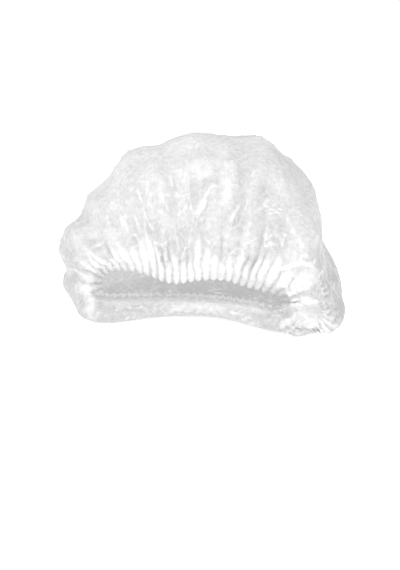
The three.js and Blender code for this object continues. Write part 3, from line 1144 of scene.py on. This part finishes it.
    def height(self, grid: ClothGrid, creases: np.ndarray, streaks: np.ndarray) -> np.ndarray:
        """Adds up the folds, gathers, creases and crumple.

        Args:
            grid: the grid of the whole sheet.
            creases: what creases gives.
            streaks: what streaks gives.

        Returns:
            The rise of the cloth above its smooth form.
        """
        lifted = self.lifted(grid)
        free = grid.past_hem(self.free_reach) * lifted
        lower = (1.0 - grid.upper) * ramp(grid.along, 0.95, 0.7)
        height = grid.main_folds + self.pleats(grid)
        height = height + free * self.crease_rise * creases * (1.0 - 0.6 * lower)
        height = height + free * 0.5 * self.crease_rise * streaks
        dents = self.dent_rise * (0.55 + 0.75 * grid.back) * self.slack(grid)
        height = height + free * dents * (1.0 - 0.55 * lower)
        rolled = Crinkle(41).round_mouth(grid.turn, grid.distance, cells=16, reach=self.roll_reach)
        height = height + free * lower * ramp(grid.along, 0.5, 0.3) * self.roll_rise * rolled
        height = height + lifted * grid.back * self.hang_rise * (self.hang(grid) - 0.4)
        return height + self.knob_arcs(grid) + self.gathered_edge(grid)

    def lifted(self, grid: ClothGrid) -> np.ndarray:
        """How free the cloth is to crumple, from nearly flat where it lies on the floor to 1."""
        return 0.15 + 0.85 * ramp(grid.smooth[..., 2], self.resting_height, self.lifted_height)

    def hang(self, grid: ClothGrid) -> np.ndarray:
        """Makes the soft folds of the back, upright ones crossed by slanting ones.

        Args:
            grid: the grid of the whole sheet.

        Returns:
            How near each place is to the ridge of such a fold, from 0 to 1.
        """
        upright = crest(Crinkle(42).over(grid.smooth, self.upright_size, shift=4.0), sharpness=4.0)
        slanting = crest(Crinkle(49).over(grid.smooth, self.slanting_size, shift=7.0), sharpness=4.5)
        return self.blurred(np.maximum(upright, 0.7 * slanting), 1)

    def gathered_edge(self, grid: ClothGrid) -> np.ndarray:
        """Makes tight ruffles of the sheet's edge inside the hem.

        Args:
            grid: the grid of the whole sheet.

        Returns:
            Their height.
        """
        near, deep = (self.form.hem_height - reach for reach in self.edge_reach)
        inside = ramp(grid.distance, near, deep)
        return self.edge_frill * inside * np.cos(2 * self.form.pleats * grid.turn)

    def knob_arcs(self, grid: ClothGrid) -> np.ndarray:
        """Makes arcs and ribs of packed cloth round the bunch at the mouth's right end.

        Args:
            grid: the grid of the whole sheet.

        Returns:
            Their height.
        """
        near = grid.knob_distance
        ring = np.exp(-(((near - self.arc_ring) / self.arc_reach) ** 2)) * grid.facing(0.1, 0.6)
        wobble = 1.2 * Crinkle(43).over(grid.smooth, size=0.012)
        arcs = self.arc_rise * ring * np.cos(2.0 * math.pi * near / self.arc_spacing + wobble)
        return grid.past_hem(self.finish_reach) * (arcs + self.knob_rib_rise * self.knob_ribs(grid))

    def knob_ribs(self, grid: ClothGrid) -> np.ndarray:
        """Makes ribs that fan out round the bunch at the mouth's right end.

        Args:
            grid: the grid of the whole sheet.

        Returns:
            From -1 between the ribs to 1 on them, and nought away from the bunch.
        """
        across, _, up = np.moveaxis(grid.smooth - self.form.knob_centre, -1, 0)
        near = grid.knob_distance / self.form.knob_radius
        band = ramp(near, 1 / 3, 7 / 12) * ramp(near, 19 / 12, 1.0) * grid.facing(0.0, 0.5)
        bend = 3.0 * Crinkle(44).over(grid.smooth, size=0.015)
        ribs = gather_section(2.0 * self.knob_ribs_round * np.arctan2(up, across) + bend)
        return band * (2.0 * ribs - 1.0)

    def layers_and_painted_light(self, grid: ClothGrid) -> np.ndarray:
        """Works out how bunched the cloth is, with painted light and shade laid over it.

        Args:
            grid: the grid of the whole sheet.

        Returns:
            From 0 where it is one layer to 1 in the gathers; painted shade lowers it and painted light raises
            it.
        """
        form = self.form
        reach = 1.0 + 0.5 * Crinkle(51).round_mouth(grid.turn, 0.0 * grid.distance, cells=50, reach=1.0)
        gathers = ramp(grid.distance / reach, grid.gather * 1.15, grid.gather * 0.5)
        # painted shade: the gathers' valleys are painted darker than their crests
        gathers = gathers * (0.48 + 0.47 * grid.upper) * (0.66 + 0.34 * self.rib(grid) ** 2)
        knob = np.exp(-((grid.knob_distance / (1.25 * form.knob_radius)) ** 4))
        # painted highlight and shade: the knob's ribs are painted lighter on their crests and darker between
        # them
        knob = 0.75 * knob * grid.facing(0.0, 0.4) * (0.7 + 0.4 * self.knob_ribs(grid))
        clouds = ramp(Crinkle(52).over(grid.smooth, size=0.02, shift=1.0), -0.6, 0.6)
        # painted shade low down, on the cloth seen through the mouth; painted light on the upper part of the
        # puff
        painted_shade_fade, painted_top_light = (ramp(grid.smooth[..., 2], *between) for between in (self.painted_shade_fade, self.painted_top_light))
        # painted highlight: the ridges of the back's folds are painted lighter
        puff = 0.26 + 0.18 * clouds + 0.3 * grid.back * self.hang(grid) + 0.13 * painted_top_light
        faint_lip_light, strong_lip_light = (ramp(grid.distance, *between) for between in (self.faint_lip_light, self.strong_lip_light))
        # painted light: the lower lip is painted lighter where the brow above shades it
        lip = (1.0 - grid.upper) * (0.18 * faint_lip_light + 0.5 * strong_lip_light)
        return np.maximum.reduce((gathers, knob, puff * painted_shade_fade - grid.thinness(), lip))

    def settled(self, grid: ClothGrid, finish: bpy.types.Material) -> np.ndarray:
        """Lets the sheet buckle by itself, as cloth a little too large for its form, held at the hem.

        Args:
            grid: the grid of the whole sheet.
            finish: the cloth's material.

        Returns:
            The height of its folds at each place of the grid.
        """
        step, hem_height = self.settle_step, self.form.hem_height
        start = grid.raised(grid.main_folds)[::step]
        piece = mesh_piece("settling_cloth", start, Ends.POLE, finish, self.form.rear_point)
        self.make_soft(piece, ramp(grid.distance[::step], hem_height + self.settle_grip, hem_height))
        for frame_number in range(1, self.settle_frames + 1):
            bpy.context.scene.frame_set(frame_number)
        shown = piece.evaluated_get(bpy.context.evaluated_depsgraph_get()).data
        moved = np.empty(3 * len(shown.vertices))
        shown.vertices.foreach_get("co", moved)
        moved = moved.reshape(-1, 3)[: start[..., 0].size].reshape(start.shape) - start
        bpy.data.objects.remove(piece)
        bpy.context.scene.frame_set(1)
        rise = np.sum(moved * grid.outward[::step], axis=-1)
        rise = self.blurred(rise - self.blurred(rise, self.settle_blur), 1)
        free = ramp(grid.distance, hem_height, self.form.pleat_length)
        free = free * ramp(grid.along, 0.99, 0.9) * (1.0 - 0.5 * (1.0 - grid.upper)) * self.lifted(grid)
        LOG.info("the cloth buckled by %.1f mm", 1000 * float(rise.std()))
        rise = np.clip(rise * self.settle_rise / rise.std(), -self.settle_limit, self.settle_limit)
        return self.between(rise, step) * free

    def make_soft(self, piece: bpy.types.Object, grip: np.ndarray) -> None:
        """Makes a piece cloth that is a little too large and is free to settle.

        Args:
            piece: the piece, made by mesh_piece.
            grip: for each vertex of its grid, how firmly it is held, from 0 to 1.
        """
        held = piece.vertex_groups.new(name="held")
        for vertex, weight in enumerate(grip.ravel()):
            if weight > 0.0:
                held.add([vertex], float(weight), "REPLACE")
        cloth = piece.modifiers.new("cloth", "CLOTH")
        cloth.settings.quality = 6
        cloth.settings.mass = 0.02
        cloth.settings.tension_stiffness = 20.0
        cloth.settings.compression_stiffness = 20.0
        cloth.settings.shear_stiffness = 10.0
        cloth.settings.bending_stiffness = 0.02
        cloth.settings.shrink_min = -self.settle_growth
        cloth.settings.vertex_group_mass = "held"
        cloth.collision_settings.use_collision = False
        cloth.point_cache.frame_start = 1
        cloth.point_cache.frame_end = self.settle_frames
        bpy.context.scene.use_gravity = False

    @staticmethod
    def blurred(values: np.ndarray, reach: int) -> np.ndarray:
        """Smooths a grid of values, round the mouth and along the rows.

        Args:
            values: one value for each place of the grid.
            reach: cells to each side that are averaged, three times over.

        Returns:
            The broad form in the values.
        """
        for _ in range(3):
            values = sum(np.roll(values, k, axis=0) for k in range(-reach, reach + 1)) / (2 * reach + 1)
            wide = np.pad(values, ((0, 0), (reach, reach)), mode="edge")
            values = sum(wide[:, k : k + values.shape[1]] for k in range(2 * reach + 1)) / (2 * reach + 1)
        return values

    @staticmethod
    def between(values: np.ndarray, step: int) -> np.ndarray:
        """Fills in lines between those given, on smooth curves round the mouth.

        Args:
            values: one value for each place of the grid.
            step: lines wanted for each line given.

        Returns:
            The values on all the lines.
        """
        near = [np.roll(values, -k, axis=0) for k in (-1, 0, 1, 2)]
        out = np.empty((values.shape[0] * step, *values.shape[1:]))
        for k in range(step):
            out[k::step] = curve_between(*near, k / step)
        return out

    def build(self, finish: bpy.types.Material) -> bpy.types.Object:
        """Makes the sheet.

        Args:
            finish: the cloth's material.

        Returns:
            The crown's object.
        """
        grid = self.grid()
        creases, streaks = self.creases(grid), self.streaks(grid)
        drawn, drawn_rise = grid.drawn()
        past_hem = grid.past_hem(self.finish_reach)
        height = self.height(grid, creases, streaks) + past_hem * drawn_rise / 1000.0
        places = grid.raised(height + self.settled(grid, finish)) + self.shift
        pole = self.form.rear_point + self.shift
        piece = mesh_piece("crown_cloth", places, Ends.POLE, finish, pole)
        store(piece, "layers_and_painted_light", self.layers_and_painted_light(grid))
        # painted highlight: the ridges of the creases, the streaks and the drawn lines are painted white
        store(piece, "crease", np.maximum(past_hem * np.maximum(creases, 0.7 * streaks), drawn))
        across = FLAT_ROUND * np.broadcast_to(grid.lines.rounds[:, None], grid.distance.shape)
        store_flat_cloth(piece, across, grid.distance)
        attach(piece, "root")
        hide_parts("crown")
        return piece


@dataclass
class Hem:
    """The turned hem: one strip of cloth folded round the elastic, in fine upright gathers."""

    form: CapForm
    shift: np.ndarray
    lines: int = 1344
    cells: int = 7
    frill: float = 0.00035
    tooth: float = 0.0024  # how far the gathers' crests stand out past the valleys at the mouth's edge
    tooth_middle: float = 0.45  # the share of a gather's height that stays at the mouth's edge
    bend: float = 0.001  # from the mouth's edge to where the strip's turn begins
    pressed_edge: float = 0.0003  # the outer leaf's edge lies nearly on the crown

    def section(self) -> np.ndarray:
        """Draws the strip's section, from its inner edge round the mouth's edge to its outer edge.

        Returns:
            Distance from the mouth's edge and distance from the cloth's middle, for each of its points.
        """
        form = self.form
        leaf = form.cloth_wall / 2 + form.clearance + form.hem_wall / 2
        bend, shares = self.bend, np.linspace(0, 1, self.cells)
        inner = [(form.hem_height - share * (form.hem_height - bend), -leaf) for share in shares]
        angles = np.linspace(-math.pi / 2, math.pi / 2, self.cells)[1:-1]
        turn = [(bend - bend * math.cos(angle) * 0.8, leaf * math.sin(angle)) for angle in angles]
        outwards = np.array([distance for distance, _ in reversed(inner)])
        press = ramp(outwards, form.hem_height - form.hem_lap, form.hem_height)
        outer = list(zip(outwards, leaf + press * (self.pressed_edge - leaf)))
        return np.array(inner + turn + outer)

    def build(self, finish: bpy.types.Material) -> bpy.types.Object:
        """Makes the strip.

        Args:
            finish: the cloth's material.

        Returns:
            The hem's object.
        """
        form = self.form
        section = self.section()
        rounds = np.arange(self.lines) / self.lines
        grid = ClothGrid(form, form.meridians(rounds), section[:, 0], np.zeros(len(section)))
        waves = Crinkle(61).round_mouth(grid.turn, grid.distance, cells=90, reach=0.01)
        fine = np.cos(2 * form.pleats * grid.turn + 2.0 * waves)
        height = grid.ruffle + self.frill * (0.3 + grid.distance / form.hem_height) * fine
        places = grid.raised(height, np.broadcast_to(section[:, 1], grid.distance.shape)) + self.shift
        inwards = grid.lines.points[:, 0] - grid.lines.points[:, 1]
        inwards = inwards / np.linalg.norm(inwards, axis=1, keepdims=True)
        rib = gather_section(form.pleats * grid.turn)
        reach = self.tooth * (rib - self.tooth_middle) * ramp(grid.distance, form.hem_height, 0.0)
        places += inwards[:, None] * reach[..., None]
        piece = mesh_piece("hem_cloth", places, Ends.OPEN, finish)
        # painted light and highlight: the hem under the mouth is painted lighter where the brow shades it, and
        # its gathers' crests lighter still
        store(piece, "layers_and_painted_light", 0.4 + 0.6 * (1.0 - grid.upper) + 0.45 * rib)
        # painted highlight: the crests of the fine frill are painted white
        store(piece, "crease", 0.9 * ramp(fine, 0.2, 1.0) * rib)
        strip = np.concatenate(([0.0], np.cumsum(np.linalg.norm(np.diff(section, axis=0), axis=1))))
        across = FLAT_ROUND * np.broadcast_to(grid.lines.rounds[:, None], grid.distance.shape)
        store_flat_cloth(piece, across, np.broadcast_to(strip, grid.distance.shape))
        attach(piece, "root")
        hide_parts("hem")
        return piece


@dataclass
class Elastic:
    """The flat elastic in the hem, ribbed lengthwise and squeezed into the hem's gathers."""

    form: CapForm
    shift: np.ndarray
    lines: int = 672
    ribs: int = 4
    rib_depth: float = 0.00012

    def section(self) -> np.ndarray:
        """Draws the band's section, ribbed on both faces.

        Returns:
            Distance from the mouth's edge and distance from the cloth's middle, for each of its points.
        """
        form = self.form
        half = form.elastic_thickness / 2 - self.rib_depth
        s = np.linspace(0.0, 1.0, 6 * self.ribs + 1)
        face = half + self.rib_depth * np.abs(np.sin(math.pi * self.ribs * s))
        out = np.stack((form.elastic_far - s * form.elastic_height, face), axis=-1)
        back = np.stack((form.elastic_near + s * form.elastic_height, -face), axis=-1)
        return np.concatenate((out, back))

    def plain_middle(self) -> np.ndarray:
        """The middle of the elastic's own box in the form's frame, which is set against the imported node's."""
        low, high = self.corners(np.arange(2 * self.form.pleats) / (2 * self.form.pleats))
        return (low + high) / 2

    def corners(self, rounds: np.ndarray) -> tuple[np.ndarray, np.ndarray]:
        """Works out the box of the plain band.

        Args:
            rounds: where it is measured, as shares of the length of the mouth's edge.

        Returns:
            Its lowest and its highest corner.
        """
        form = self.form
        starts = np.array((form.elastic_near, form.elastic_near, form.elastic_far, form.elastic_far))
        offs = np.array((-0.5, 0.5, 0.5, -0.5)) * form.elastic_thickness
        grid = ClothGrid(form, form.meridians(rounds), starts, np.zeros(4))
        height = grid.pleat_size * np.cos(form.pleats * grid.turn)
        places = grid.raised(height, np.broadcast_to(offs, grid.distance.shape)).reshape(-1, 3)
        return places.min(axis=0), places.max(axis=0)

    def build(self, finish: bpy.types.Material) -> bpy.types.Object:
        """Makes the band.

        Args:
            finish: the elastic's material.

        Returns:
            The elastic's object.
        """
        form = self.form
        section = self.section()
        rounds = np.arange(self.lines) / self.lines
        grid = ClothGrid(form, form.meridians(rounds), section[:, 0], np.zeros(len(section)))
        places = grid.raised(grid.ruffle, np.broadcast_to(section[:, 1], grid.distance.shape)) + self.shift
        piece = mesh_piece("elastic_band", places, Ends.LOOP, finish)
        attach(piece, "root")
        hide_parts("elastic")
        return piece


@dataclass(frozen=True)
class SoftLight:
    """A square soft light that faces the cap, at a place from the cap's middle."""

    name: str
    place: tuple[float, float, float]
    side: float
    power: float


@dataclass
class Studio:
    """The pale floor, the soft light and the camera."""

    aim: Vector
    lens: float = 98.27  # 36 mm across the picture's 570 pixels, at 1556 pixels to a radian
    floor_side: float = 60.0
    floor_colour: str = "#F6F6F6"
    floor_glow: float = 0.52
    floor_grain: float = 1 / 180  # metres across a grain of the paint
    sky: float = 0.62
    lights: tuple[SoftLight, ...] = (
        SoftLight("key_light", (-0.75, -0.2, 0.95), side=0.4, power=6.5),
        SoftLight("fill_light", (0.9, -0.7, 0.5), side=0.8, power=3.0),
        SoftLight("front_light", (0.1, -1.1, 0.75), side=0.7, power=6.0),
    )

    def build(self) -> None:
        """Makes the floor, the lights, the world and the camera."""
        self.build_floor()
        self.build_lights()
        self.build_camera()

    def build_floor(self) -> None:
        """Makes a large plain floor with a matt, nearly white paint that the light just burns out."""
        half = self.floor_side / 2
        mesh = bpy.data.meshes.new("studio_floor")
        square = [(-half, -half, 0), (half, -half, 0), (half, half, 0), (-half, half, 0)]
        mesh.from_pydata(square, [], [(0, 1, 2, 3)])
        floor = bpy.data.objects.new("studio_floor", mesh)
        bpy.context.collection.objects.link(floor)
        material, tree = new_material("matt_white_paint")
        grain = add_node(tree, "ShaderNodeTexNoise", Scale=1.0 / self.floor_grain, Detail=3.0).outputs[0]
        bump = add_node(tree, "ShaderNodeBump", Height=grain, Strength=0.04, Distance=0.0003).outputs[0]
        lit = add_node(
            tree,
            "ShaderNodeBsdfPrincipled",
            Base_Color=linear(self.floor_colour),
            Roughness=0.9,
            Normal=bump,
            Emission_Color=(1.0, 1.0, 1.0, 1.0),
            Emission_Strength=self.floor_glow,
        ).outputs[0]
        add_node(tree, "ShaderNodeOutputMaterial", Surface=lit)
        mesh.materials.append(material)

    def add_light(self, light: SoftLight) -> None:
        """Adds one soft light.

        Args:
            light: its name, place, side and power.
        """
        data = bpy.data.lights.new(light.name, "AREA")
        data.shape = "SQUARE"
        data.size = light.side
        data.energy = light.power
        lamp = bpy.data.objects.new(light.name, data)
        lamp.location = self.aim + Vector(light.place)
        lamp.rotation_euler = (-Vector(light.place)).to_track_quat("-Z", "Y").to_euler()
        bpy.context.collection.objects.link(lamp)

    def build_lights(self) -> None:
        """Adds the white surroundings, a key from the upper left, a weak fill and a light from the front."""
        world = bpy.data.worlds.new("white_studio")
        world.use_nodes = True
        world.node_tree.nodes.clear()
        sky = add_node(
            world.node_tree, "ShaderNodeBackground", Color=(1.0, 1.0, 1.0, 1.0), Strength=self.sky
        ).outputs[0]
        add_node(world.node_tree, "ShaderNodeOutputWorld", Surface=sky)
        bpy.context.scene.world = world
        for light in self.lights:
            self.add_light(light)

    def build_camera(self) -> None:
        """Adds the camera, in front of the mouth and above it."""
        data = bpy.data.cameras.new("camera")
        data.sensor_width = 36.0
        data.lens = self.lens
        data.clip_start = 0.05
        data.clip_end = 200.0
        camera = bpy.data.objects.new("camera", data)
        back = Vector((0.0, -math.cos(VIEW_ELEVATION), math.sin(VIEW_ELEVATION)))
        camera.location = self.aim + back * VIEW_DISTANCE
        camera.rotation_euler = (-back).to_track_quat("-Z", "Y").to_euler()
        bpy.context.collection.objects.link(camera)
        bpy.context.scene.camera = camera
        bpy.context.scene.view_settings.view_transform = "Standard"


def corners(bounds: tuple[Vector, Vector]) -> list[list[float]]:
    """Returns a box's lowest and highest corner as plain numbers."""
    return [[float(x) for x in corner] for corner in bounds]


def main() -> None:
    """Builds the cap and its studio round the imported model."""
    logging.basicConfig(level=logging.INFO, format="%(name)s: %(message)s")
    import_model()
    form = CapForm()
    still = np.zeros(3)
    low, high = (np.array(corner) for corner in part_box("elastic"))
    shift = (low + high) / 2 - Elastic(form, still).plain_middle()
    LOG.info("the form stands %s mm from its own frame", np.round(shift * 1000, 2))
    cloth = SpunbondCloth().build()
    crown = Crown(form, shift)
    crown_cloth = crown.build(cloth)
    LOG.info("crown: %d vertices", len(crown_cloth.data.vertices))
    hem_cloth = Hem(form, shift).build(cloth)
    LOG.info("hem: %d vertices", len(hem_cloth.data.vertices))
    elastic_band = Elastic(form, shift).build(CoveredElastic().build())
    LOG.info("elastic: %d vertices", len(elastic_band.data.vertices))
    Studio(Vector((float(shift[0]), float(shift[1]), AIM_HEIGHT))).build()


if __name__ == "__main__":
    main()
